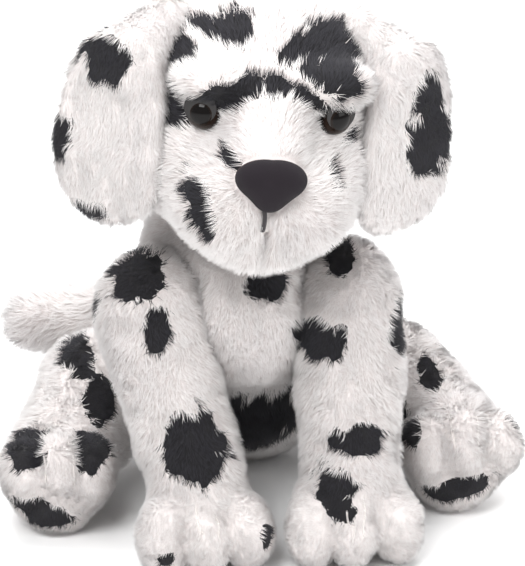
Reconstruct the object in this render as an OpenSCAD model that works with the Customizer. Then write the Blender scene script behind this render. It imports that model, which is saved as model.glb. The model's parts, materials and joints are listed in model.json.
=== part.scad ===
// Seated plush Dalmatian puppy, sewn from soft plush panels over loose stuffing.
// Millimetres, +Z up, the dog looks along -Y and its left side is at +X.
// The origin is at the middle of the bounding box, on the surface that the toy sits on.

/* [Head] */
// Radius of the stuffed head
head_r = 45.5; // [44:0.5:46]
// Height of the head's centre above the ground
head_z = 161; // [159:0.5:164]
// Sideways tilt of the head in degrees
head_roll = 5; // [0:1:7]
// Radius of the rounded muzzle
muzzle_r = 24; // [22:0.5:25]
// Distance between the centres of the muzzle's two rounded sides
muzzle_span = 20; // [16:1:24]
// Width of the nose
nose_w = 26; // [22:1:28]
// Height of the nose
nose_h = 20; // [18:1:22]
// Diameter of each safety eye
eye_d = 12; // [10:0.5:13]
// Distance between the centres of the eyes
eye_span = 47; // [42:1:50]

/* [Ears] */
// Width of an ear's flap
ear_w = 48; // [40:1:50]
// Length of an ear's flap
ear_len = 78; // [70:1:82]
// Thickness of an ear's flap
ear_t = 15; // [12:1:16]

/* [Torso] */
// Radius of the chest end of the torso
chest_r = 36; // [34:0.5:37]
// Radius of the rump
rump_r = 42; // [40:0.5:43]
// Half width of the torso between the flat flanks that the hind legs lie on
flank_half = 38; // [36:0.5:39]
// Radius of the ball of stuffing in the neck
neck_r = 22; // [20:0.5:23]

/* [Legs] */
// Radius of a front leg at the shoulder
shoulder_r = 20.5; // [19:0.5:21]
// Radius of a front leg at the ankle
ankle_r = 18; // [16:0.5:19]
// Half width of a front paw
paw_half = 25; // [22:0.5:26]
// Half height of a front paw
paw_rise = 18; // [16:0.5:19]
// Radius of a hind leg at the hip
hip_r = 25; // [23:0.5:26]
// Radius of the left hind paw
left_foot_r = 23; // [21:0.5:24]
// Radius of the right hind paw
right_foot_r = 21.5; // [20:0.5:23]

/* [Tail] */
// Radius of the tail at its root
tail_root_r = 12.5; // [11:0.5:13]
// Radius of the tail at its tip
tail_tip_r = 10.5; // [9:0.5:11]

/* [Fabric] */
// Thickness of plush: the backing cloth and its pressed pile
plush_t = 3; // [2:0.5:3.5]
// Gap between a plush shell and its stuffing
fill_gap = 0.25; // [0.2:0.05:0.4]
// Gap between parts that move past each other
joint_gap = 0.6; // [0.5:0.1:1]
// Diameter of the stitching thread
thread_d = 1; // [0.8:0.1:1.2]

/* [Hidden] */

// Places on the torso and the limbs
head_c = [-3, -25, head_z];
neck_p = [-4, -9, 113];
chest_c = [-5, 0, 78];
rump_c = [0, 47, 39];
breast_c = [-6, -25, 80];
breast_r = 22;
tail_root = [-14, 78.5, 44];
tail_tip = [-80, 77.5, 46];
stuffing_inset = plush_t + fill_gap;
// Half the width of the room that a front leg swings in
swing_half = shoulder_r + 4.5;
far = 300;

// Each leg's shoulder or hip, then its ankle and the middle of its paw
left_front = [[29, -28, 86], [27, -52, 30], [27, -66, paw_rise - 1.5]];
right_front = [[-40, -28, 86], [-33, -47, 30], [-25, -60, paw_rise - 1.5]];
left_hind = [[54, 23, 34], [73, -17.4, left_foot_r - 1]];
right_hind = [[-54, 23, 34], [-74, -17, right_foot_r - 1]];

// Places on the head, measured from its centre before it is tilted
muzzle_y = -33;
muzzle_z = -23;
nose_p = [0, -57, -10];
eye_y = -38;
eye_z = 7.6;
ear_root = [33, -10, 29];
ear_root_r = 7;
ear_arm = [49, -15, 16];
ear_arm_r = 8;
ear_top_r = 15;
ear_c = [52, -17, -7];
ear_turn = 35;

// Helpers

// A ball-ended limb that tapers from radius r1 at p1 to radius r2 at p2, turned as one profile.
// seam is the angle about its axis at which the turning starts.
module limb(p1, r1, p2, r2, seam = 0) {
    d = p2 - p1;
    len = norm(d);
    lean = asin((r1 - r2) / len);
    steps = 12;
    profile = concat(
        [for (i = [0:steps]) let (t = -90 + (lean + 90) * i / steps) [r1 * cos(t), r1 * sin(t)]],
        [for (i = [0:steps]) let (t = lean + (90 - lean) * i / steps) [r2 * cos(t), len + r2 * sin(t)]]
    );
    translate(p1)
        rotate([0, acos(d[2] / len), atan2(d[1], d[0])])
            rotate([0, 0, seam])
                rotate_extrude($fn = 64)
                    polygon(profile);
}

// A ball squashed to half width wide and half height high, turned as one profile.
module spheroid(wide, high) {
    steps = 24;
    rotate_extrude($fn = 64)
        polygon([for (i = [0:steps]) let (t = 180 * i / steps - 90) [wide * cos(t), high * sin(t)]]);
}

module ball(r) {
    sphere(r, $fn = 64);
}

module below_ground(inset) {
    translate([-far, -far, -2 * far + inset])
        cube(2 * far);
}

module in_head() {
    translate(head_c)
        rotate([0, head_roll, 0])
            children();
}

// Mirrors a shape drawn on the dog's left to its right when side is -1.
module on_side(side) {
    mirror([side < 0 ? 1 : 0, 0, 0])
        children();
}

// Head

module muzzle_form(inset) {
    r = muzzle_r - inset;
    half = muzzle_span / 2;
    limb([-half, muzzle_y, muzzle_z], r, [half, muzzle_y, muzzle_z], r - 0.01);
}

module neck_cut(extra) {
    translate(neck_p)
        ball(neck_r + extra);
}

module eye_axis(side) {
    on_side(side)
        translate([eye_span / 2, eye_y, eye_z])
            rotate([90, 0, 22])
                children();
}

module head_form(inset) {
    difference() {
        in_head()
            ball(head_r - inset);
        neck_cut(joint_gap + inset);
        for (side = [-1, 1])
            in_head() on_side(side) translate(ear_root) ball(ear_root_r + joint_gap + inset);
    }
}

module head_shell() {
    color("white")
        difference() {
            head_form(0);
            head_form(plush_t);
            for (side = [-1, 1])
                in_head() eye_axis(side) cylinder(h = 30, d = 3.2, center = true, $fn = 32);
        }
}

module head_stuffing() {
    color("ivory")
        difference() {
            head_form(stuffing_inset);
            for (side = [-1, 1])
                in_head() eye_axis(side) translate([0, 0, -13]) cylinder(h = 26, d = 13, $fn = 32);
        }
}

module muzzle_shell() {
    color("white")
        in_head()
            difference() {
                muzzle_form(0);
                muzzle_form(plush_t);
                ball(head_r + 0.1);
            }
}

module muzzle_stuffing() {
    color("ivory")
        in_head()
            difference() {
                muzzle_form(stuffing_inset);
                ball(head_r + 0.1 + fill_gap);
            }
}

module nose() {
    corner_r = 6;
    color("#2b2127")
        in_head()
            difference() {
                translate(nose_p)
                    hull() {
                        for (side = [-1, 1])
                            translate([side * (nose_w / 2 - corner_r), 0, nose_h / 2 - corner_r])
                                sphere(corner_r, $fn = 24);
                        translate([0, 1, corner_r - nose_h / 2])
                            sphere(corner_r, $fn = 24);
                    }
                muzzle_form(-0.1);
                ball(head_r + 0.2);
            }
}

module mouth_stitch() {
    top = nose_p[2] - nose_h / 2;
    color("#2a2426")
        in_head()
            intersection() {
                difference() {
                    muzzle_form(-thread_d);
                    muzzle_form(-0.1);
                }
                translate([-thread_d / 2, muzzle_y - 2 * muzzle_r, top - 14])
                    cube([thread_d, 2 * muzzle_r, 13]);
            }
}

// A safety eye stands on the head: clear dome outside, post through the plush, washer inside.
module eye_dome(side) {
    dome_rise = 4.8;
    dome_r = eye_d / 2 + 0.2;
    color("#3a2015")
        in_head()
            eye_axis(side)
                intersection() {
                    translate([0, 0, dome_rise - dome_r])
                        ball(dome_r);
                    translate([0, 0, far / 2 + 1.5])
                        cube(far, center = true);
                }
}

module eye_post(side) {
    plate_d = eye_d - 0.8;
    color("#111111")
        in_head() {
            difference() {
                eye_axis(side)
                    translate([0, 0, 0.9])
                        cylinder(h = 0.6, d = plate_d, $fn = 48);
                ball(head_r + 0.15);
            }
            eye_axis(side)
                translate([0, 0, -10])
                    cylinder(h = 11.2, d = 3, $fn = 32);
        }
}

module eye_washer(side) {
    color("gainsboro")
        in_head()
            eye_axis(side)
                translate([0, 0, -6.4])
                    difference() {
                        cylinder(h = 1.2, d = 11, $fn = 48);
                        translate([0, 0, -1])
                            cylinder(h = 4, d = 3.04, $fn = 32);
                    }
}

// Ears

// The outline of an ear's flap in its own plane: a drop, wide and low, narrow at the top.
module ear_outline(inset) {
    low_r = ear_w / 2 - inset;
    top_r = ear_top_r - inset;
    span = ear_len - ear_w / 2 - ear_top_r;
    lean = asin((low_r - top_r) / span);
    steps = 10;
    right = concat(
        [for (i = [0:steps]) let (t = -90 + (lean + 90) * i / steps) [low_r * cos(t), low_r * sin(t)]],
        [for (i = [0:steps]) let (t = lean + (90 - lean) * i / steps) [top_r * cos(t), span + top_r * sin(t)]]
    );
    left = [for (i = [len(right) - 2:-1:1]) [-right[i][0], right[i][1]]];
    translate([0, (ear_w - ear_len) / 2])
        polygon(concat(right, left));
}

// One layer of the flap, from depth near to depth near + thick behind the flap's outer face.
module ear_layer(near, thick, inset) {
    translate(ear_c)
        rotate([0, 0, ear_turn])
            translate([0, near + thick - ear_t / 2, 0])
                rotate([90, 0, 0])
                    linear_extrude(thick)
                        ear_outline(inset);
}

module head_clearance() {
    ball(head_r + joint_gap);
    muzzle_form(-joint_gap);
}

module ear_plush(side) {
    color("white")
        in_head()
            on_side(side) {
                translate(ear_root)
                    rotate([90, 0, 60])
                        ball(ear_root_r);
                difference() {
                    union() {
                        ear_layer(0, 0.6 * ear_t, 0);
                        limb(ear_root, ear_root_r - 0.8, ear_arm, ear_arm_r);
                    }
                    head_clearance();
                }
            }
}

module ear_lining(side) {
    color("whitesmoke")
        in_head()
            on_side(side)
                difference() {
                    ear_layer(0.6 * ear_t + 0.1, 0.4 * ear_t, 2);
                    limb(ear_root, ear_root_r, ear_arm, ear_arm_r + 0.2);
                    head_clearance();
                }
}

// Neck

module neck_tube() {
    color("white")
        translate(neck_p)
            difference() {
                ball(neck_r);
                ball(neck_r - plush_t);
            }
}

module neck_stuffing() {
    color("ivory")
        translate(neck_p)
            ball(neck_r - stuffing_inset);
}

// Torso

module body_form(inset) {
    gap = joint_gap + inset;
    difference() {
        union() {
            limb(chest_c, chest_r - inset, rump_c, rump_r - inset);
            translate(breast_c)
                ball(breast_r - inset);
        }
        below_ground(inset);
        neck_cut(gap);
        for (leg = [left_front, right_front]) {
            limb(leg[0], shoulder_r + gap, leg[1], ankle_r + gap);
            translate(leg[0] - [swing_half + gap, 80, 60])
                cube([2 * (swing_half + gap), 80 + inset, 60 + shoulder_r + gap]);
        }
        for (side = [-1, 1])
            translate([side * (flank_half + far / 2 - inset), 0, 0])
                cube([far, far, 2 * 72], center = true);
        limb(tail_root, tail_root_r + gap, tail_tip, tail_tip_r + gap);
        translate(tail_root - [far, inset, tail_root_r + gap])
            cube([far + tail_root_r + gap, far, 2 * (tail_root_r + gap)]);
    }
}

module bean_form(inset) {
    translate([0, 42, 24])
        spheroid(25 - inset, 17 - inset);
}

module body_shell() {
    color("white")
        difference() {
            body_form(0);
            body_form(plush_t);
        }
}

module body_stuffing() {
    color("ivory")
        difference() {
            body_form(stuffing_inset);
            bean_form(-fill_gap);
        }
}

module bean_pouch() {
    color("silver")
        difference() {
            bean_form(0);
            bean_form(0.8);
        }
}

module bean_pellets() {
    color("lightgray")
        bean_form(1);
}

// Front legs

module front_leg_form(leg, inset) {
    difference() {
        union() {
            limb(leg[0], shoulder_r - inset, leg[1], ankle_r - inset);
            translate(leg[2])
                spheroid(paw_half - inset, paw_rise - inset);
        }
        below_ground(inset);
    }
}

module front_leg_shell(leg) {
    color("white")
        difference() {
            front_leg_form(leg, 0);
            front_leg_form(leg, plush_t);
        }
}

module front_leg_stuffing(leg) {
    color("ivory")
        front_leg_form(leg, stuffing_inset);
}

// Two threads draw each paw into three toes.
module front_toe_stitches(leg) {
    color("#d8d0cc")
        intersection() {
            difference() {
                translate(leg[2]) spheroid(paw_half + thread_d, paw_rise + thread_d);
                translate(leg[2]) spheroid(paw_half + 0.1, paw_rise + 0.1);
            }
            for (side = [-1, 1])
                translate(leg[2] + [side * 9 - thread_d / 2, -2 * paw_half - 9, 3 - paw_rise])
                    cube([thread_d, 2 * paw_half, 2 * paw_rise - 6]);
        }
}

// Hind legs

module hind_leg_form(leg, foot_r, inset) {
    side = sign(leg[0][0]);
    difference() {
        limb(leg[0], hip_r - inset, leg[1], foot_r - inset, 60);
        below_ground(inset);
        translate([side * (flank_half + joint_gap + inset - far / 2), 0, 0])
            cube(far, center = true);
    }
}

module hind_leg_shell(leg, foot_r) {
    color("white")
        difference() {
            hind_leg_form(leg, foot_r, 0);
            hind_leg_form(leg, foot_r, plush_t);
        }
}

module hind_leg_stuffing(leg, foot_r) {
    color("ivory")
        hind_leg_form(leg, foot_r, stuffing_inset);
}

module hind_toe_stitches(leg, foot_r) {
    color("#d8d0cc")
        intersection() {
            difference() {
                translate(leg[1]) ball(foot_r + thread_d);
                limb(leg[0], hip_r + 0.1, leg[1], foot_r + 0.1, 60);
            }
            for (side = [-1, 1])
                translate(leg[1] + [side * 7 - thread_d / 2, -2 * foot_r - 6, -foot_r / 2])
                    cube([thread_d, 2 * foot_r, 1.4 * foot_r]);
        }
}

// Tail

module tail_form(inset) {
    limb(tail_root, tail_root_r - inset, tail_tip, tail_tip_r - inset);
}

module tail_shell() {
    color("white")
        difference() {
            tail_form(0);
            tail_form(plush_t);
        }
}

module tail_stuffing() {
    color("ivory")
        tail_form(stuffing_inset);
}

head_shell();
head_stuffing();
muzzle_shell();
muzzle_stuffing();
nose();
mouth_stitch();
eye_dome(1);  // left_eye_dome
eye_post(1);  // left_eye_post
eye_washer(1);  // left_eye_washer
eye_dome(-1);  // right_eye_dome
eye_post(-1);  // right_eye_post
eye_washer(-1);  // right_eye_washer
ear_plush(1);  // left_ear_plush
ear_lining(1);  // left_ear_lining
ear_plush(-1);  // right_ear_plush
ear_lining(-1);  // right_ear_lining
neck_tube();
neck_stuffing();
body_shell();
body_stuffing();
bean_pouch();
bean_pellets();
front_leg_shell(left_front);  // left_front_leg_shell
front_leg_stuffing(left_front);  // left_front_leg_stuffing
front_toe_stitches(left_front);  // left_front_toe_stitches
front_leg_shell(right_front);  // right_front_leg_shell
front_leg_stuffing(right_front);  // right_front_leg_stuffing
front_toe_stitches(right_front);  // right_front_toe_stitches
hind_leg_shell(left_hind, left_foot_r);  // left_hind_leg_shell
hind_leg_stuffing(left_hind, left_foot_r);  // left_hind_leg_stuffing
hind_toe_stitches(left_hind, left_foot_r);  // left_hind_toe_stitches
hind_leg_shell(right_hind, right_foot_r);  // right_hind_leg_shell
hind_leg_stuffing(right_hind, right_foot_r);  // right_hind_leg_stuffing
hind_toe_stitches(right_hind, right_foot_r);  // right_hind_toe_stitches
tail_shell();
tail_stuffing();
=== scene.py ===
"""Plush Dalmatian puppy: sewn skins over stuffing, with a combed plush pile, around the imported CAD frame.

Every shape is worked out in millimetres in the CAD frame and scaled to metres when its mesh is made.
The dog looks along -Y, and its left side is at +X.
"""

import json
import math

import bmesh
import bpy
import numpy as np
from mathutils import Matrix, Vector, kdtree


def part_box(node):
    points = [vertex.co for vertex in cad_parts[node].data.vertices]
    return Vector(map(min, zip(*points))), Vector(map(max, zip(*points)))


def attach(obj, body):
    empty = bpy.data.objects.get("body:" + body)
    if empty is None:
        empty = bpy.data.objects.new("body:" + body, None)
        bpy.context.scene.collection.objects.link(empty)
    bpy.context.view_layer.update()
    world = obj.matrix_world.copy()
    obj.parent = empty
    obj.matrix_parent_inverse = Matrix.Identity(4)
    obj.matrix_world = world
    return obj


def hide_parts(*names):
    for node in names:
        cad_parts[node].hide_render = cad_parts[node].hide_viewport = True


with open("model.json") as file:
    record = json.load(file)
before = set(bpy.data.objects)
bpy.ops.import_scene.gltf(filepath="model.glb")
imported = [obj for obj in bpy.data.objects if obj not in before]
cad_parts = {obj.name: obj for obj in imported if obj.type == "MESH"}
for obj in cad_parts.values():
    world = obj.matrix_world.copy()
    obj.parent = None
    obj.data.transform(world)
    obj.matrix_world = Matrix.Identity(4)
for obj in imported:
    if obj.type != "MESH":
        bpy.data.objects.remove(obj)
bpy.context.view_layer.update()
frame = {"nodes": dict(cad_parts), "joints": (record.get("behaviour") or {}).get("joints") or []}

MM = 0.001
PILE = 4.3            # length of the plush pile
PILE_PER_MM2 = 3.1    # strands on each square millimetre
STRAND_W = 0.17       # half width of a strand at its root
VOXEL = 1.5           # edge length of the skins' meshes
CLOTH = 3.0           # how far the stuffing is set in from a skin's face
FLOOR_GAP = 0.3       # the lowest that a strand's tip may come
LEFT, RIGHT = 1, -1
WORD = {LEFT: "left", RIGHT: "right"}
FOOT_R = {LEFT: 23.0, RIGHT: 21.5}
EYE_SEAT = (23.5, -40, 5.4)   # the left eye in the head's own frame


# ---------------------------------------------------------------- places from the frame

def joint_at(name):
    row = next(j for j in frame["joints"] if j["name"] == name)
    return np.array(row["pos_m"]) / MM


def node_box(node):
    low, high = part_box(node)
    return np.array(low) / MM, np.array(high) / MM


def middle(node):
    low, high = node_box(node)
    return (low + high) / 2


HEAD_R = (node_box("head_shell")[1][0] - node_box("head_shell")[0][0]) / 2
HEAD = middle("head_shell")
HEAD[2] = node_box("head_shell")[1][2] - HEAD_R
NECK = joint_at("head_turn")
EYES = {LEFT: middle("left_eye_dome"), RIGHT: middle("right_eye_dome")}
ROLL = math.atan2(EYES[RIGHT][2] - EYES[LEFT][2], EYES[LEFT][0] - EYES[RIGHT][0])
SHOULDER = {LEFT: joint_at("left_front_leg_swing"), RIGHT: joint_at("right_front_leg_swing")}
HIP = {LEFT: joint_at("left_hind_leg_lift"), RIGHT: joint_at("right_hind_leg_lift")}
TAIL_ROOT = joint_at("tail_wag")
PAW = {}
FOOT = {}
for side, word in WORD.items():
    front_y = node_box(word + "_front_leg_shell")[0][1]
    PAW[side] = np.array([middle(word + "_front_toe_stitches")[0], front_y + 25.0, 16.5])
    front_y = node_box(word + "_hind_leg_shell")[0][1]
    foot_r = FOOT_R[side]
    FOOT[side] = np.array([middle(word + "_hind_toe_stitches")[0], front_y + foot_r, foot_r - 1.0])


def roll_matrix(angle):
    c, s = math.cos(angle), math.sin(angle)
    return np.array([[c, 0, s], [0, 1, 0], [-s, 0, c]])


HEAD_TURN = roll_matrix(ROLL)


def to_head(p):
    """World points to the head's own frame, untilted, from its centre."""
    return (p - HEAD) @ HEAD_TURN


def from_head(q):
    return np.asarray(q, float) @ HEAD_TURN.T + HEAD


def mirrored(q):
    """Folds the right half onto the left, so that a shape is drawn once for both."""
    return np.abs(q) * [1, 0, 0] + q * [0, 1, 1]


# ---------------------------------------------------------------- implicit shapes

def ellipsoid(p, centre, radii):
    q = p - np.asarray(centre, float)
    r = np.asarray(radii, float)
    k0 = np.linalg.norm(q / r, axis=1)
    k1 = np.linalg.norm(q / r ** 2, axis=1) + 1e-9
    return k0 * (k0 - 1.0) / k1


def limb(p, a, b, ra, rb):
    a, b = np.asarray(a, float), np.asarray(b, float)
    d = b - a
    h = np.clip((p - a) @ d / (d @ d), 0, 1)
    return np.linalg.norm(p - a - h[:, None] * d, axis=1) - (ra + (rb - ra) * h)


def join(shapes, k):
    """Smooth union: creases are filled to about k millimetres."""
    out = shapes[0]
    for d in shapes[1:]:
        h = np.clip(0.5 + 0.5 * (d - out) / k, 0, 1)
        out = d * (1 - h) + out * h - k * h * (1 - h)
    return out


def above(p, f, z, k=1.5):
    """Keeps a shape above height z, with a rounded edge."""
    return -join([-f, p[:, 2] - z], k)


def waves(seed, length, count=14):
    """A smooth random function of a point: a sum of plane waves about length millimetres long."""
    rng = np.random.default_rng(seed)
    k = rng.normal(size=(count, 3))
    k *= (2 * math.pi / length) * (rng.uniform(0.7, 1.4, (count, 1))) / np.linalg.norm(k, axis=1)[:, None]
    phase = rng.uniform(0, 2 * math.pi, count)
    return lambda p: np.sin(p @ k.T + phase).sum(1) / math.sqrt(count / 2)


lumps = waves(3, 34)
dimples = waves(4, 13)


def soft(p, f, amount=1.0):
    """The uneven surface of a stuffed skin."""
    return f + amount * (0.7 * lumps(p) + 0.3 * dimples(p))


def head_form(p):
    q = to_head(p)
    m = mirrored(q)
    skull = ellipsoid(q, (0, 2, 1), (43.5, 43, 44))
    cheek = ellipsoid(m, (17.5, -16, -19), (20.5, 24, 20))
    jowl = ellipsoid(m, (10.5, -37, -24.5), (19.5, 20.5, 18.5))
    bridge = limb(q, (0, -34, 2), (0, -46, -9), 13, 11)
    chin = ellipsoid(q, (0, -35, -40), (15, 14, 9))
    brow = ellipsoid(m, (20, -35, 15.5), (13, 9, 8))
    f = join([skull, cheek], 14)
    f = join([f, jowl, bridge, chin], 7)
    f = join([f, brow], 8)
    eye = np.linalg.norm(m - EYE_SEAT, axis=1)
    f = f + 2.6 * np.exp(-(eye / 8.0) ** 2)
    lip = np.exp(-(q[:, 0] / 1.6) ** 2) * (q[:, 2] < -17) * (q[:, 1] < -40)
    f = f + 1.6 * lip
    return soft(p, f, 0.7)


def neck_form(p):
    return ellipsoid(p, NECK, (25, 24.5, 26))


def ear_form(side):
    def form(p):
        q = to_head(p) * [side, 1, 1]
        root = (33, -10, 29)
        c, s = math.cos(math.radians(33)), math.sin(math.radians(33))
        d = q - [50.5, -19, -7.5]
        flap = np.stack([d[:, 0] * c + d[:, 1] * s, -d[:, 0] * s + d[:, 1] * c, d[:, 2]], 1)
        flap[:, 1] += 0.010 * flap[:, 0] ** 2 - 3
        body = join([
            ellipsoid(flap, (0, 0, 9), (18.5, 7, 25)),
            ellipsoid(flap, (0, 0, -11), (20.5, 7, 22.5)),
        ], 8)
        arm = limb(q, root, (47, -15, 17), 7.5, 9)
        return soft(p, join([body, arm], 12), 0.5)
    return form


def torso_form(p):
    f = join([
        limb(p, (-5, 0, 78), (0, 46, 40), 34, 39),
        ellipsoid(p, (-6, -24, 84), (25, 21, 24)),
        ellipsoid(p, (-4, -6, 101), (31, 24, 16)),
        ellipsoid(p, (0, 22, 40), (33, 26, 25)),
        ellipsoid(p, (-4, 4, 101), (28, 27, 20)),
    ], 14)
    return soft(p, above(p, f, 0.5), 1.0)


def front_leg_form(side):
    shoulder, paw = SHOULDER[side], PAW[side]
    ankle = paw + [1.5 * side, 14, 14]
    paw = paw + [0, 4.5 + 1.5 * side, 0]

    def form(p):
        f = join([
            limb(p, shoulder + [0, 0, 1], ankle, 19.5, 16),
            ellipsoid(p, paw + [0, 3, -1], (21.5, 14.5, 13.5)),
        ], 9)
        toes = [
            ellipsoid(p, paw + [dx, -7.5 + abs(dx) * 0.2, -2.5], (9.2, 11.0, 12.8))
            for dx in (-14.5, 0, 14.5)
        ]
        f = join([f, join(toes, 0.6)], 4)
        return soft(p, above(p, f, 0.5), 0.8)
    return form


def hind_leg_form(side):
    hip, foot = HIP[side], FOOT[side]
    r = foot[2] + 1.0

    def form(p):
        f = limb(p, hip, foot + [0, 8, 0], 23, r - 4)
        up = np.array([0, -0.55, 0.83])
        across = np.array([1, 0, 0])
        toes = [
            ellipsoid(p, foot + up * (0.40 * r - abs(t) * 3.0) + across * (t * 0.58 * r) + [0, -6, -1],
                      (0.37 * r, 0.5 * r, 0.5 * r))
            for t in (-1, 0, 1)
        ]
        sole = ellipsoid(p, foot + [0, -3, -2], (0.82 * r, 0.66 * r, 0.84 * r))
        f = join([f, sole], 6)
        f = join([f, join(toes, 0.6)], 4)
        return soft(p, above(p, f, 0.5), 0.8)
    return form


def tail_form(p):
    tip = node_box("tail_shell")[0][0] + 17
    return soft(p, limb(p, TAIL_ROOT + [3, -3, 0], (tip, TAIL_ROOT[1] - 1, TAIL_ROOT[2] + 1), 14, 9), 0.6)


NOSE = middle("nose")


def nose_form(p):
    q = (p - NOSE) @ HEAD_TURN
    q = q + [1.2, 0.8, 3.2]
    m = mirrored(q)
    f = join([
        ellipsoid(m, (5.4, 0.4, 2.2), (6.4, 5.0, 4.6)),
        ellipsoid(q, (0, -0.6, 1.4), (9.0, 5.0, 7.0)),
        ellipsoid(q, (0, 0.6, -5.2), (4.0, 4.2, 4.0)),
    ], 6)
    return f


# ---------------------------------------------------------------- meshes

def slope(form, p):
    e = 0.25
    out = np.empty_like(p)
    for axis in range(3):
        step = np.zeros(3)
        step[axis] = e
        out[:, axis] = (form(p + step) - form(p - step)) / (2 * e)
    return out


def settle(p, form, steps=5):
    """Moves points onto the form's surface."""
    for _ in range(steps):
        g = slope(form, p)
        p = p - (form(p) / np.maximum((g ** 2).sum(1), 0.05))[:, None] * g
    return p


def mesh_arrays(mesh):
    co = np.empty(len(mesh.vertices) * 3)
    mesh.vertices.foreach_get("co", co)
    return co.reshape(-1, 3)


def add_object(name, mesh):
    obj = bpy.data.objects.new(name, mesh)
    bpy.context.scene.collection.objects.link(obj)
    return obj


def smooth(mesh):
    for poly in mesh.polygons:
        poly.use_smooth = True


def coat(obj, mat):
    """Gives an object one material in place of any that it has."""
    obj.data.materials.clear()
    obj.data.materials.append(mat)


def remeshed(obj, voxel):
    mod = obj.modifiers.new("voxels", "REMESH")
    mod.mode = "VOXEL"
    mod.voxel_size = voxel * MM
    graph = bpy.context.evaluated_depsgraph_get()
    mesh = bpy.data.meshes.new_from_object(obj.evaluated_get(graph))
    obj.modifiers.remove(mod)
    old, obj.data = obj.data, mesh
    bpy.data.meshes.remove(old)


def skin(name, form, centre, voxel=VOXEL):
    """A closed mesh on the form's surface. Every ray from centre meets the surface once."""
    bm = bmesh.new()
    bmesh.ops.create_icosphere(bm, subdivisions=6, radius=1.0)
    mesh = bpy.data.meshes.new(name)
    bm.to_mesh(mesh)
    bm.free()
    rays = mesh_arrays(mesh)
    rays /= np.linalg.norm(rays, axis=1)[:, None]
    low, high = np.zeros(len(rays)), np.full(len(rays), 150.0)
    for _ in range(18):
        mid = (low + high) / 2
        inside = form(centre + rays * mid[:, None]) < 0
        low, high = np.where(inside, mid, low), np.where(inside, high, mid)
    mesh.vertices.foreach_set("co", ((centre + rays * low[:, None]) * MM).ravel())
    obj = add_object(name, mesh)
    remeshed(obj, voxel)
    obj.name = name
    obj.data.name = name
    p = settle(mesh_arrays(obj.data) / MM, form)
    obj.data.vertices.foreach_set("co", (p * MM).ravel())
    obj.data.update()
    smooth(obj.data)
    return obj


# ---------------------------------------------------------------- the pile

def unit(v):
    return v / (np.linalg.norm(v, axis=1)[:, None] + 1e-9)


def scatter(obj, per_mm2, rng):
    """Seeded points and normals spread evenly over a skin, in millimetres."""
    mesh = obj.data
    mesh.calc_loop_triangles()
    tri = np.empty(len(mesh.loop_triangles) * 3, np.int32)
    mesh.loop_triangles.foreach_get("vertices", tri)
    tri = tri.reshape(-1, 3)
    p = mesh_arrays(mesh) / MM
    n = np.empty(len(p) * 3)
    mesh.vertices.foreach_get("normal", n)
    n = n.reshape(-1, 3)
    a, b, c = p[tri[:, 0]], p[tri[:, 1]], p[tri[:, 2]]
    area = np.linalg.norm(np.cross(b - a, c - a), axis=1) / 2
    total = area.sum()
    count = int(total * per_mm2)
    pick = np.searchsorted(np.cumsum(area) / total, (np.arange(count) + rng.random(count)) / count)
    pick = np.minimum(pick, len(tri) - 1)
    u, v = rng.random(count), rng.random(count)
    flip = u + v > 1
    u[flip], v[flip] = 1 - u[flip], 1 - v[flip]
    w = np.stack([1 - u - v, u, v], 1)[:, :, None]
    return (p[tri[pick]] * w).sum(1), unit((n[tri[pick]] * w).sum(1))


def strands(name, root, tip, width, shade, normal):
    """One mesh of three-sided tapering strands. shade is a random number for each strand."""
    count = len(root)
    along = unit(tip - root)
    side = unit(np.cross(along, normal) + 1e-6)
    other = np.cross(along, side)
    verts = np.empty((count, 4, 3))
    for i in range(3):
        t = 2 * math.pi * i / 3
        verts[:, i] = root + (math.cos(t) * side + 0.8 * math.sin(t) * other) * width[:, None]
    verts[:, 3] = tip
    corners = np.array([0, 1, 3, 1, 2, 3, 2, 0, 3])
    loops = ((np.arange(count) * 4)[:, None] + corners).ravel()
    mesh = bpy.data.meshes.new(name)
    mesh.vertices.add(count * 4)
    mesh.vertices.foreach_set("co", (verts * MM).astype(np.float32).ravel())
    mesh.loops.add(len(loops))
    mesh.loops.foreach_set("vertex_index", loops.astype(np.int32))
    mesh.polygons.add(count * 3)
    mesh.polygons.foreach_set("loop_start", np.arange(0, count * 9, 3, dtype=np.int32))
    mesh.polygons.foreach_set("use_smooth", np.ones(count * 3, bool))
    mesh.update(calc_edges=True)
    height = np.where(corners == 3, 0.98, 0.02)
    place = np.stack([np.repeat(shade, 9), np.tile(height, count)], 1)
    uv = mesh.uv_layers.new(name="OFBake")
    uv.data.foreach_set("uv", place.astype(np.float32).ravel())
    own = unit((verts - root[:, None]).reshape(-1, 3)).reshape(count, 4, 3)
    shading = unit((normal[:, None] * 0.85 + own * 0.35).reshape(-1, 3))
    mesh.normals_split_custom_set_from_vertices(shading.tolist())
    return add_object(name, mesh)


swirl = [waves(20 + i, 15) for i in range(3)]
tuft_bend = [waves(30 + i, 6) for i in range(3)]


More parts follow.
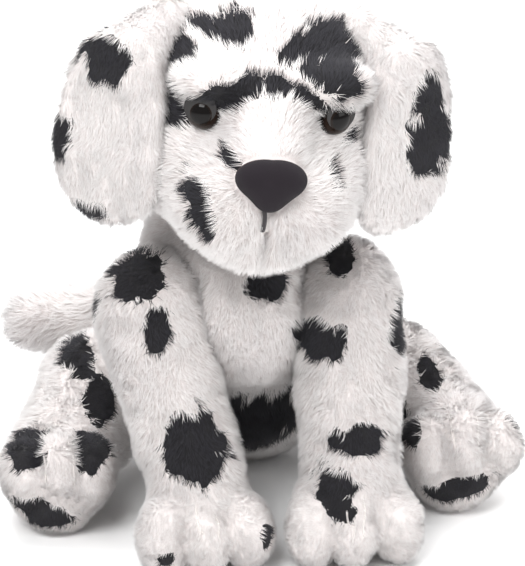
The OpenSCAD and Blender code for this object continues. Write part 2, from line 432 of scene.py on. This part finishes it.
def grow(name, obj, flow, seed, hidden=None, length=PILE, per_mm2=PILE_PER_MM2, lean=0.54, dark=None,
         trim=None):
    """Plants the pile on a skin: a white piece and, where there are spots, a black one."""
    rng = np.random.default_rng(seed)
    root, normal = scatter(obj, per_mm2, rng)
    keep = ~((root[:, 2] < 1.5) & (normal[:, 2] < -0.7))
    if hidden is not None:
        keep &= ~hidden(root, normal)
    root, normal = root[keep], normal[keep]
    count = len(root)
    wander = np.stack([w(root) for w in swirl], 1)
    bend = np.stack([w(root) for w in tuft_bend], 1)
    comb = flow(root, normal) + 0.24 * wander + 0.26 * bend + 0.34 * rng.normal(size=(count, 3))
    comb = unit(comb - (comb * normal).sum(1)[:, None] * normal)
    heading = unit(normal * (1 - lean) + comb * lean)
    size = length * rng.uniform(0.75, 1.15, count) * (trim(root) if trim else 1.0)
    tip = root + heading * size[:, None]

    lead = rng.choice(count, count // 26, replace=False)
    tree = kdtree.KDTree(len(lead))
    for i, j in enumerate(lead):
        tree.insert(root[j], i)
    tree.balance()
    nearest = lead[np.array([tree.find(p)[1] for p in root])]
    pull = rng.uniform(0.1, 0.5, count)[:, None]
    goal = tip[nearest] + (root - root[nearest]) * 0.35
    tip = tip * (1 - pull) + goal * pull
    tip[:, 2] = np.maximum(tip[:, 2], FLOOR_GAP)
    root = root - normal * 0.4
    width = STRAND_W * rng.uniform(0.8, 1.25, count)
    shade = np.clip(0.5 + 0.16 * rng.normal(size=count) + 0.12 * lumps(root), 0.02, 0.98)
    black = np.zeros(count, bool)
    if dark is not None:
        black = dark(root) + 0.06 * rng.normal(size=count) > 0
    tip[black] = root[black] + (tip[black] - root[black]) * 0.82
    made = []
    for word, chosen in (("white", np.nonzero(~black)[0]), ("black", np.nonzero(black)[0])):
        for part, some in enumerate(np.array_split(chosen, len(chosen) // 60000 + 1)):
            if len(some) < 20:
                continue
            piece = strands(f"{name}_pile_{word}_{part}", root[some], tip[some], width[some], shade[some],
                            normal[some])
            piece.data.materials.append(PILE_MATERIAL[word])
            made.append(piece)
    return made


# ---------------------------------------------------------------- spots

blot = waves(50, 9)
fray = waves(51, 3.5)
SPOT_DEPTH = 1.8      # a spot reaches this much deeper than its half depth, so that it wraps round


def on_limb(limb_line, along, bearing, lift=0):
    """A place on a limb: part of the way down it, then out of its side.

    bearing is 0 for the dog's front and 90 for its left, and lift is the angle above level.
    """
    a, b, r = limb_line
    t, e = math.radians(bearing), math.radians(lift)
    out = np.array([math.sin(t) * math.cos(e), -math.cos(t) * math.cos(e), math.sin(e)])
    return a + (b - a) * along + out * r


FRONT_LEG = {side: (SHOULDER[side], PAW[side], 18) for side in (LEFT, RIGHT)}
HIND_LEG = {side: (HIP[side], FOOT[side], 20) for side in (LEFT, RIGHT)}

# Each spot has a centre, its half width, half depth and half height, and a turn about the view
# from the front. Spots of the head and ears are placed in the head's own frame, where the eyes
# are 23 to each side and 5 above the centre.
HEAD_SPOTS = [
    # the band that rises from the right eye, over the bridge, and falls to the left eye
    ((-17, -44, 11), (7.5, 9, 6), 22),
    ((-8, -43, 15.5), (7, 9, 4.2), 12),
    ((1, -43, 16), (7, 9, 3.6), -6),
    ((10, -43, 13.5), (6.5, 9, 3), -20),
    ((17, -43, 10.5), (5.5, 9, 2.3), -22),
    # outside the right eye, and the temple above it
    ((-34, -30, 5), (8.5, 9, 8.5), 0),
    ((-29, -22, 21), (5, 8, 6.6), 0),
    # forehead, with a tail
    ((-13, -27, 31), (8, 9, 5.5), 15),
    ((-23, -24, 30.5), (5.5, 8, 2.4), 0),
    # the large patch over the left brow, in four lobes
    ((19, -26, 27.5), (14.5, 12, 7), 5),
    ((20.5, -33, 20), (10, 10, 7.5), -15),
    ((7, -32, 25), (7, 9, 3.6), 12),
    ((31, -18, 27), (6, 9, 7), 0),
    # cheek stripe and the small marks round the nose and the left eye
    ((-22, -46, -23.5), (4.4, 9, 10.5), 16),
    ((-13.5, -50, -6.5), (2.6, 6, 3.4), 40),
    ((22, -48, -12), (1.9, 6, 4.2), 8),
    ((28.5, -37, -3), (2, 6, 2.8), 0),
    # back of the head, guessed
    ((22, 32, 18), (13, 12, 10), 20),
    ((-20, 38, 2), (8, 10, 10), -20),
]
EAR_SPOTS = {
    RIGHT: [
        ((-54.5, -24, 18), (8, 13, 8.6), 0),
        ((-71, -14, -12), (6.5, 10, 9.5), 0),
        ((-58, -22, -38), (7.5, 12, 4.5), 0),
    ],
    LEFT: [
        ((60, -22, -6.5), (10.5, 14, 12.5), -15),
        ((57, -22, 10), (6, 12, 8.5), 0),
    ],
}
TRUNK_SPOTS = [
    # right front leg, from the shoulder down to the toes
    (on_limb(FRONT_LEG[RIGHT], -0.22, -5), (9.5, 12, 6), 20),
    (on_limb(FRONT_LEG[RIGHT], -0.05, -105), (3, 7, 5), 0),
    (on_limb(FRONT_LEG[RIGHT], 0.0, 2), (5.2, 9, 7.5), 0),
    (on_limb(FRONT_LEG[RIGHT], 0.56, 12), (12.5, 10, 14.5), 0),
    (PAW[RIGHT] + [-15, -16, -7], (3, 6, 3), 0),
    (PAW[RIGHT] + [20, -8, -1], (2.5, 6, 4), 0),
    # left front leg
    (on_limb(FRONT_LEG[LEFT], -0.28, -10), (4.5, 8, 7), 0),
    (on_limb(FRONT_LEG[LEFT], 0.10, -40), (9, 9, 7.5), 15),
    (on_limb(FRONT_LEG[LEFT], 0.10, 80), (6.5, 9, 11), -10),
    (on_limb(FRONT_LEG[LEFT], 0.56, 5), (10, 9, 5), -4),
    (PAW[LEFT] + [-7, -12, 14], (7.5, 14, 10), 0),
    # chest under the chin, and the belly between the front legs
    (NECK + [4, -36, -13], (8.5, 9, 8), 0),
    (NECK + [3, 12, -77], (25, 15, 20), 0),
    # back and flanks, guessed
    ((14, 62, 84), (14, 12, 11), 15),
    ((-20, 86, 66), (9, 12, 10), -20),
    ((-36, 40, 70), (9, 14, 8), 30),
    ((38, 52, 62), (9, 12, 10), -20),
    ((-6, 34, 104), (9, 9, 9), 0),
    ((16, 90, 40), (9, 9, 7), 0),
]
HAUNCH_SPOTS = [
    # right thigh, then the right foot's top, side and sole
    (on_limb(HIND_LEG[RIGHT], 0.15, -90, 75), (6, 9, 6.5), 0),
    (on_limb(HIND_LEG[RIGHT], 0.55, 50, 55), (6.5, 10, 7.5), 0),
    (FOOT[RIGHT] + [12, -15, 15], (7, 9, 7), -25),
    (FOOT[RIGHT] + [-11, -8, 15], (7, 10, 7.5), 0),
    (FOOT[RIGHT] + [-7, -21, -9], (13, 12, 7), -14),
    # left thigh and foot
    (on_limb(HIND_LEG[LEFT], 0.60, 0, 80), (4, 8, 5.5), 0),
    (FOOT[LEFT] + [-19, -6, 14], (3.8, 8, 7), 0),
    (FOOT[LEFT] + [-2, -21, -9], (16, 11, 5), 12),
    (FOOT[LEFT] + [19, 2, 17], (5, 9, 7), 0),
    # outer thighs, guessed
    ((78, 34, 44), (9, 9, 9), 0),
    ((-79, 36, 30), (8, 9, 8), 0),
]


def spotted(spots, frame_of=np.asarray):
    """How far inside a black spot each point of a skin lies, above 0 inside."""
    def test(world):
        p = frame_of(world)
        out = np.full(len(p), -1.0)
        for centre, radii, turn in spots:
            c, s = math.cos(math.radians(turn)), math.sin(math.radians(turn))
            d = p - np.asarray(centre, float)
            q = np.stack([d[:, 0] * c + d[:, 2] * s, d[:, 1], -d[:, 0] * s + d[:, 2] * c], 1)
            reach = np.asarray(radii, float) * [1, SPOT_DEPTH, 1]
            out = np.maximum(out, 1 - np.linalg.norm(q / reach, axis=1))
        return out + 0.10 * blot(p) * (out > -0.9) + 0.05 * fray(p) * (out > -0.9)
    return test


# ---------------------------------------------------------------- materials

def material(name, **sockets):
    mat = bpy.data.materials.new(name)
    mat.use_nodes = True
    shader = mat.node_tree.nodes["Principled BSDF"]
    for key, value in sockets.items():
        shader.inputs[key.replace("_", " ")].default_value = value
    return mat, mat.node_tree, shader


def ramp_node(tree, stops):
    node = tree.nodes.new("ShaderNodeValToRGB")
    ramp = node.color_ramp
    while len(ramp.elements) < len(stops):
        ramp.elements.new(0.5)
    for element, (place, colour) in zip(ramp.elements, stops):
        element.position = place
        element.color = (*colour, 1)
    return node


def pile_material(name, deep, tip, sheen):
    """Painted shade: darker and warmer towards the root, where shade falls deep in the pile, and full colour
    at the tip; a little different from strand to strand.
    """
    mat, tree, shader = material(name, Roughness=0.9, Sheen_Weight=sheen, Sheen_Roughness=0.4)
    uv = tree.nodes.new("ShaderNodeUVMap")
    uv.uv_map = "OFBake"
    split = tree.nodes.new("ShaderNodeSeparateXYZ")
    tree.links.new(uv.outputs[0], split.inputs[0])
    # Painted shade: the deep colour at each strand's root stands in for the shade that falls deep inside the
    # pile.
    height = ramp_node(tree, [(0.0, deep), (0.62, tip), (1.0, tip)])
    tree.links.new(split.outputs["Y"], height.inputs[0])
    tone = ramp_node(tree, [(0.0, (0.86, 0.85, 0.86)), (1.0, (1, 1, 1))])
    tree.links.new(split.outputs["X"], tone.inputs[0])
    mix = tree.nodes.new("ShaderNodeMix")
    mix.data_type = "RGBA"
    mix.blend_type = "MULTIPLY"
    mix.inputs["Factor"].default_value = 1.0
    tree.links.new(height.outputs[0], mix.inputs[6])
    tree.links.new(tone.outputs[0], mix.inputs[7])
    tree.links.new(mix.outputs[2], shader.inputs["Base Color"])
    return mat


# The deep colours are painted shade at the strand roots. The tip colours are the pile's own white and black.
WHITE_ROOT_SHADE, WHITE_TIP = (0.74, 0.665, 0.64), (0.955, 0.928, 0.912)
BLACK_ROOT_SHADE, BLACK_TIP = (0.010, 0.009, 0.010), (0.030, 0.029, 0.036)
PILE_MATERIAL = {
    "white": pile_material("white_pile", WHITE_ROOT_SHADE, WHITE_TIP, 0.15),
    "black": pile_material("black_pile", BLACK_ROOT_SHADE, BLACK_TIP, 0.10),
}


def fine_bump(tree, shader, scale, strength, distance):
    """A close random nap, as bump only."""
    grain = tree.nodes.new("ShaderNodeTexNoise")
    grain.inputs["Scale"].default_value = scale
    bump = tree.nodes.new("ShaderNodeBump")
    bump.inputs["Strength"].default_value = strength
    bump.inputs["Distance"].default_value = distance
    tree.links.new(grain.outputs["Fac"], bump.inputs["Height"])
    tree.links.new(bump.outputs[0], shader.inputs["Normal"])


def skin_material():
    """The backing cloth under the pile: white or black as the spots say, with a fine bump."""
    mat, tree, shader = material("plush_backing", Roughness=0.95, Sheen_Weight=0.1)
    spots = tree.nodes.new("ShaderNodeAttribute")
    spots.attribute_name = "spots"
    ramp = ramp_node(tree, [(0.45, (0.82, 0.77, 0.755)), (0.55, (0.012, 0.011, 0.013))])
    tree.links.new(spots.outputs["Fac"], ramp.inputs[0])
    tree.links.new(ramp.outputs[0], shader.inputs["Base Color"])
    fine_bump(tree, shader, 900, 0.5, 0.0005)
    return mat


SKIN = skin_material()


# ---------------------------------------------------------------- the dog

def dress(name, body, form, centre, flow, seed, nodes, dark=None, hidden=None, **pile):
    """A body's skin and its pile, riding on the body and standing for its plush nodes."""
    cloth = skin(name + "_skin", form, np.asarray(centre, float))
    coat(cloth, SKIN)
    value = dark(mesh_arrays(cloth.data) / MM) if dark else np.full(len(cloth.data.vertices), -1.0)
    spots = cloth.data.attributes.new("spots", "FLOAT", "POINT")
    spots.data.foreach_set("value", np.clip(0.5 + value * 4, 0, 1).astype(np.float32))
    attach(cloth, body)
    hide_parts(*nodes)
    for piece in grow(name, cloth, flow, seed, hidden, dark=dark, **pile):
        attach(piece, body)
    return cloth


def falls(p, n):
    """Pile that hangs down."""
    return np.tile([0.0, -0.15, -1.0], (len(p), 1))


def face_flow(p, n):
    """Pile that is combed away from the nose, back over the head."""
    q = to_head(p)
    away = unit(q - [0, -57, -10])
    away[:, 1] += 0.3
    return away @ HEAD_TURN.T


def paw_flow(paw):
    def flow(p, n):
        d = unit(p - (paw + [0, 12, 10]))
        down = np.tile([0.0, -0.2, -1.0], (len(p), 1))
        near = np.clip((34 - p[:, 2]) / 14, 0, 1)[:, None]
        return d * near + down * (1 - near)
    return flow


def short_toes(p):
    """Paws are clipped shorter than the rest, so their toes show."""
    return 1 - 0.36 * np.clip((36 - p[:, 2]) / 12, 0, 1) * (p[:, 1] < 0)


def buried(form, depth=3.0):
    """Points that lie deep inside another body's form carry no pile."""
    return lambda p, n: form(p) < -depth


def any_of(*tests):
    def test(p, n):
        out = tests[0](p, n)
        for t in tests[1:]:
            out = out | t(p, n)
        return out
    return test


def bare_face(p, n):
    q = to_head(p)
    m = mirrored(q)
    eye = np.linalg.norm(m - EYE_SEAT, axis=1) < 5.2
    mouth = (np.abs(q[:, 0]) < 2.0) & (q[:, 2] < -18) & (q[:, 2] > -31) & (q[:, 1] < -44)
    return eye | mouth | (nose_form(p) < 0.6)


HEAD_NODES = ("head_shell", "muzzle_shell")
front = {side: front_leg_form(side) for side in (LEFT, RIGHT)}
hind = {side: hind_leg_form(side) for side in (LEFT, RIGHT)}
ears = {side: ear_form(side) for side in (LEFT, RIGHT)}

dress("head", "head", head_form, HEAD, face_flow, 101, HEAD_NODES, spotted(HEAD_SPOTS, to_head),
      any_of(bare_face, buried(neck_form)), length=4.9)
dress("neck", "neck", neck_form, NECK, falls, 102, ("neck_tube",), None,
      any_of(buried(head_form, 0), buried(torso_form, 0)))
dress("torso", "torso", torso_form, (-3, 22, 60), falls, 103, ("body_shell",), spotted(TRUNK_SPOTS),
      any_of(buried(neck_form), *[buried(front[s], 5) for s in front], *[buried(hind[s], 5) for s in hind]))
for side in (LEFT, RIGHT):
    word = WORD[side]
    ear_middle = from_head(np.array([53, -19, -5]) * [side, 1, 1])
    dress(f"{word}_ear", f"{word}_ear", ears[side], ear_middle, falls, 110 + side,
          (f"{word}_ear_plush", f"{word}_ear_lining"), spotted(EAR_SPOTS[side], to_head),
          buried(head_form, 4), lean=0.7)
    name = f"{word}_front_leg"
    dress(name, name, front[side], PAW[side] + [0, 14, 20], paw_flow(PAW[side]), 120 + side,
          (name + "_shell",), spotted(TRUNK_SPOTS), buried(torso_form, 5), trim=short_toes)
    name = f"{word}_hind_leg"
    dress(name, name, hind[side], (HIP[side] + FOOT[side]) / 2, paw_flow(FOOT[side]), 130 + side,
          (name + "_shell",), spotted(HAUNCH_SPOTS), buried(torso_form, 5), trim=short_toes)


def tail_flow(p, n):
    return np.tile([-1.0, 0.0, -0.3], (len(p), 1))


dress("tail", "tail", tail_form, TAIL_ROOT + [-30, 0, 0], tail_flow, 140, ("tail_shell",), None,
      buried(torso_form, 5), length=7.0)


# ---------------------------------------------------------------- what the skins hold

FIBRE = material("stuffing_fibre", Base_Color=(0.86, 0.84, 0.80, 1), Roughness=1.0, Sheen_Weight=0.3)[0]


def stuffed(name, body, form, centre, nodes):
    """The stuffing inside a skin: its form, set in a little."""
    core = skin(name, lambda p: form(p) + CLOTH, np.asarray(centre, float), voxel=4.0)
    coat(core, FIBRE)
    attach(core, body)
    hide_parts(*nodes)


stuffed("head_filling", "head", head_form, HEAD, ("head_stuffing", "muzzle_stuffing"))
stuffed("neck_filling", "neck", neck_form, NECK, ("neck_stuffing",))
stuffed("torso_filling", "torso", torso_form, (-3, 22, 78), ("body_stuffing",))
for side in (LEFT, RIGHT):
    word = WORD[side]
    stuffed(f"{word}_front_leg_filling", f"{word}_front_leg", front[side], PAW[side] + [0, 14, 20],
            (f"{word}_front_leg_stuffing",))
    stuffed(f"{word}_hind_leg_filling", f"{word}_hind_leg", hind[side], (HIP[side] + FOOT[side]) / 2,
            (f"{word}_hind_leg_stuffing",))
stuffed("tail_filling", "tail", tail_form, TAIL_ROOT + [-30, 0, 0], ("tail_stuffing",))


def pellets():
    """Plastic pellets heaped in the weight pouch."""
    rng = np.random.default_rng(7)
    low, high = node_box("bean_pellets")
    centre, half = (low + high) / 2, (high - low) / 2 - 2.4
    bm = bmesh.new()
    step = 5.2
    span = np.arange(-6, 7) * step
    for x in span:
        for y in span:
            for z in span:
                p = np.array([x, y, z]) + rng.uniform(-0.5, 0.5, 3)
                if np.linalg.norm(p / half) < 1:
                    bmesh.ops.create_icosphere(bm, subdivisions=2, radius=2.2 * MM,
                                               matrix=Matrix.Translation(Vector((centre + p) * MM)))
    mesh = bpy.data.meshes.new("pellets")
    bm.to_mesh(mesh)
    bm.free()
    smooth(mesh)
    obj = add_object("pellets", mesh)
    mesh.materials.append(material("pellet_plastic", Base_Color=(0.75, 0.76, 0.78, 1), Roughness=0.35)[0])
    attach(obj, "torso")
    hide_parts("bean_pellets")


pellets()


POUCH = material("pouch_nylon", Base_Color=(0.80, 0.80, 0.82, 1), Roughness=0.6, Sheen_Weight=0.3)[0]
POST = material("eye_back", Base_Color=(0.012, 0.010, 0.010, 1), Roughness=0.4)[0]
WASHER = material("washer_plastic", Base_Color=(0.78, 0.78, 0.76, 1), Roughness=0.45)[0]
coat(frame["nodes"]["bean_pouch"], POUCH)
for word in ("left", "right"):
    coat(frame["nodes"][f"{word}_eye_post"], POST)
    coat(frame["nodes"][f"{word}_eye_washer"], WASHER)


# ---------------------------------------------------------------- face

def eye_material():
    """Glossy moulded eye: black pupil in a very dark brown iris, darker again at the rim."""
    mat, tree, shader = material("eye_gloss", Roughness=0.03, IOR=1.32, Specular_IOR_Level=0.4)
    ring = tree.nodes.new("ShaderNodeAttribute")
    ring.attribute_name = "ring"
    ramp = ramp_node(tree, [(0.0, (0.004, 0.003, 0.003)), (0.50, (0.004, 0.003, 0.003)),
                            (0.58, (0.012, 0.007, 0.005)), (0.80, (0.018, 0.010, 0.007)),
                            (0.95, (0.006, 0.004, 0.004))])
    tree.links.new(ring.outputs["Fac"], ramp.inputs[0])
    tree.links.new(ramp.outputs[0], shader.inputs["Base Color"])
    return mat


EYE = eye_material()


def eye(side):
    low, high = node_box(WORD[side] + "_eye_dome")
    turn = math.radians(22) * side
    facing = from_head(np.array([math.sin(turn), -math.cos(turn), 0])) - HEAD
    centre = (low + high) / 2 - facing * 5.0 - [0, 0, 2.2]
    radius, rings, around = 6.3, 24, 64
    axis = Vector(facing)
    turned = axis.to_track_quat("Z", "Y").to_matrix()
    verts, faces, ring = [], [], []
    for i in range(rings + 1):
        t = math.radians(100) * i / rings
        for j in range(around):
            a = 2 * math.pi * j / around
            ray = (math.sin(t) * math.cos(a), math.sin(t) * math.sin(a), 0.88 * math.cos(t))
            spot = Vector(ray) * radius
            verts.append((Vector(centre) + turned @ spot) * MM)
            ring.append(min(1.0, math.sin(t) if t < math.pi / 2 else 1.0))
    for i in range(rings):
        for j in range(around):
            a, b = i * around + j, i * around + (j + 1) % around
            faces.append((a, a + around, b + around, b))
    faces.append(tuple(rings * around + j for j in range(around)))
    mesh = bpy.data.meshes.new(WORD[side] + "_eye")
    mesh.from_pydata(verts, [], faces)
    bm = bmesh.new()
    bm.from_mesh(mesh)
    bmesh.ops.remove_doubles(bm, verts=bm.verts, dist=1e-6)
    bmesh.ops.recalc_face_normals(bm, faces=bm.faces)
    bm.to_mesh(mesh)
    bm.free()
    co = mesh_arrays(mesh) / MM - centre
    off = co - (co @ facing)[:, None] * facing
    value = mesh.attributes.new("ring", "FLOAT", "POINT")
    value.data.foreach_set("value", (np.linalg.norm(off, axis=1) / radius).astype(np.float32))
    smooth(mesh)
    obj = add_object(WORD[side] + "_eye", mesh)
    mesh.materials.append(EYE)
    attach(obj, "head")
    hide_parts(WORD[side] + "_eye_dome")


eye(LEFT)
eye(RIGHT)


def nose():
    """The nose's short velour, a little browner where it meets the muzzle."""
    obj = skin("nose_velour", nose_form, NOSE, voxel=0.7)
    mat, tree, shader = material("nose_velour", Roughness=0.9, Sheen_Weight=0.04, Specular_IOR_Level=0.2)
    edge = tree.nodes.new("ShaderNodeAttribute")
    edge.attribute_name = "edge"
    dark, brown = (0.016, 0.012, 0.016), (0.060, 0.030, 0.028)
    ramp = ramp_node(tree, [(0.0, dark), (0.55, dark), (0.8, brown)])
    tree.links.new(edge.outputs["Fac"], ramp.inputs[0])
    tree.links.new(ramp.outputs[0], shader.inputs["Base Color"])
    fine_bump(tree, shader, 1600, 0.6, 0.0004)
    coat(obj, mat)
    depth = ((mesh_arrays(obj.data) / MM - NOSE) @ HEAD_TURN)[:, 1]
    value = obj.data.attributes.new("edge", "FLOAT", "POINT")
    value.data.foreach_set("value", np.clip((depth + 5.5) / 8, 0, 1).astype(np.float32))
    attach(obj, "head")
    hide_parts("nose")


nose()


def thread(name, paths, form, radius, lift, mat):
    """Stitching that follows a skin: each path is a list of points near it."""
    bm = bmesh.new()
    for path in paths:
        path = np.asarray(path, float)
        t = np.linspace(0, len(path) - 1, 8 * len(path))
        p = np.stack([np.interp(t, range(len(path)), path[:, i]) for i in range(3)], 1)
        p = settle(p, form)
        n = unit(slope(form, p))
        p = p + n * lift
        along = unit(np.gradient(p, axis=0))
        side = unit(np.cross(along, n))
        rings = []
        for k in range(len(p)):
            r = radius * (0.35 if k in (0, len(p) - 1) else 1.0)
            ring = []
            for j in range(8):
                a = 2 * math.pi * j / 8
                ring.append(bm.verts.new((p[k] + r * (math.cos(a) * side[k] + math.sin(a) * n[k])) * MM))
            rings.append(ring)
        for a, b in zip(rings, rings[1:]):
            for j in range(8):
                bm.faces.new((a[j], a[(j + 1) % 8], b[(j + 1) % 8], b[j]))
        bm.faces.new(rings[0][::-1])
        bm.faces.new(rings[-1])
    bmesh.ops.recalc_face_normals(bm, faces=bm.faces)
    mesh = bpy.data.meshes.new(name)
    bm.to_mesh(mesh)
    bm.free()
    smooth(mesh)
    obj = add_object(name, mesh)
    mesh.materials.append(mat)
    return obj


DARK_THREAD = material("dark_thread", Base_Color=(0.02, 0.016, 0.018, 1), Roughness=0.8, Sheen_Weight=0.3)[0]
PALE_THREAD = material("pale_thread", Base_Color=(0.70, 0.65, 0.63, 1), Roughness=0.8, Sheen_Weight=0.3)[0]

mouth_line = [from_head((-1 - 0.06 * (z + 17), -58, z)) for z in (-17, -20, -23, -26, -30)]
mouth = thread("mouth_thread", [mouth_line], head_form, 0.8, 2.2, DARK_THREAD)
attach(mouth, "head")
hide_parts("mouth_stitch")

for side in (LEFT, RIGHT):
    word = WORD[side]
    paw, foot = PAW[side], FOOT[side]
    r = foot[2]
    paths = [[paw + [dx, -26, 2], paw + [dx, -22, 9], paw + [dx, -16, 15]] for dx in (-7.5, 7.5)]
    toes = thread(f"{word}_front_toe_threads", paths, front[side], 0.4, 0.1, PALE_THREAD)
    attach(toes, f"{word}_front_leg")
    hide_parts(f"{word}_front_toe_stitches")
    paths = [[foot + [dx, -r - 2, 0], foot + [dx, -r, 0.5 * r], foot + [dx, -0.5 * r, r]] for dx in (-6, 6)]
    toes = thread(f"{word}_hind_toe_threads", paths, hind[side], 0.4, 0.1, PALE_THREAD)
    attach(toes, f"{word}_hind_leg")
    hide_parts(f"{word}_hind_toe_stitches")


# ---------------------------------------------------------------- camera, light and floor

def studio():
    scene = bpy.context.scene
    world = bpy.data.worlds.new("studio")
    scene.world = world
    world.use_nodes = True
    world.node_tree.nodes["Background"].inputs[0].default_value = (1, 1, 1, 1)
    world.node_tree.nodes["Background"].inputs[1].default_value = 0.56
    scene.view_settings.view_transform = "Standard"

    aim = Vector((2.7, -8.0, 86.5)) * MM
    azimuth, elevation, distance = math.radians(-8), math.radians(20), 1.2
    back = Vector((math.sin(azimuth) * math.cos(elevation), -math.cos(azimuth) * math.cos(elevation),
                   math.sin(elevation)))
    cam = bpy.data.objects.new("camera", bpy.data.cameras.new("camera"))
    scene.collection.objects.link(cam)
    cam.location = aim + back * distance
    cam.rotation_euler = (-back).to_track_quat("-Z", "Y").to_euler()
    cam.data.sensor_width = 36
    cam.data.lens = 36 * distance / 0.2038
    cam.data.clip_start = 0.05
    scene.camera = cam

    def area(name, place, size, watts):
        data = bpy.data.lights.new(name, "AREA")
        data.shape = "RECTANGLE"
        data.size, data.size_y = size
        data.energy = watts
        lamp = bpy.data.objects.new(name, data)
        scene.collection.objects.link(lamp)
        lamp.location = place
        lamp.rotation_euler = (Vector((0, 0, 0.09)) - Vector(place)).to_track_quat("-Z", "Y").to_euler()

    area("key", (-0.45, -0.75, 1.0), (0.6, 0.6), 12)
    area("fill", (0.8, -0.7, 0.6), (0.7, 0.7), 4)
    area("top", (0.0, 0.1, 1.1), (0.9, 0.9), 9)
    area("back", (0.3, 0.9, 0.7), (0.8, 0.8), 5)

    mesh = bpy.data.meshes.new("floor")
    half = 3.0
    corners = [(-half, -half, 0), (half, -half, 0), (half, half, 0), (-half, half, 0)]
    mesh.from_pydata(corners, [], [(0, 1, 2, 3)])
    floor = add_object("floor", mesh)
    mat, _, _ = material("floor_paper", Base_Color=(0.95, 0.95, 0.95, 1), Roughness=1.0)
    mesh.materials.append(mat)


studio()
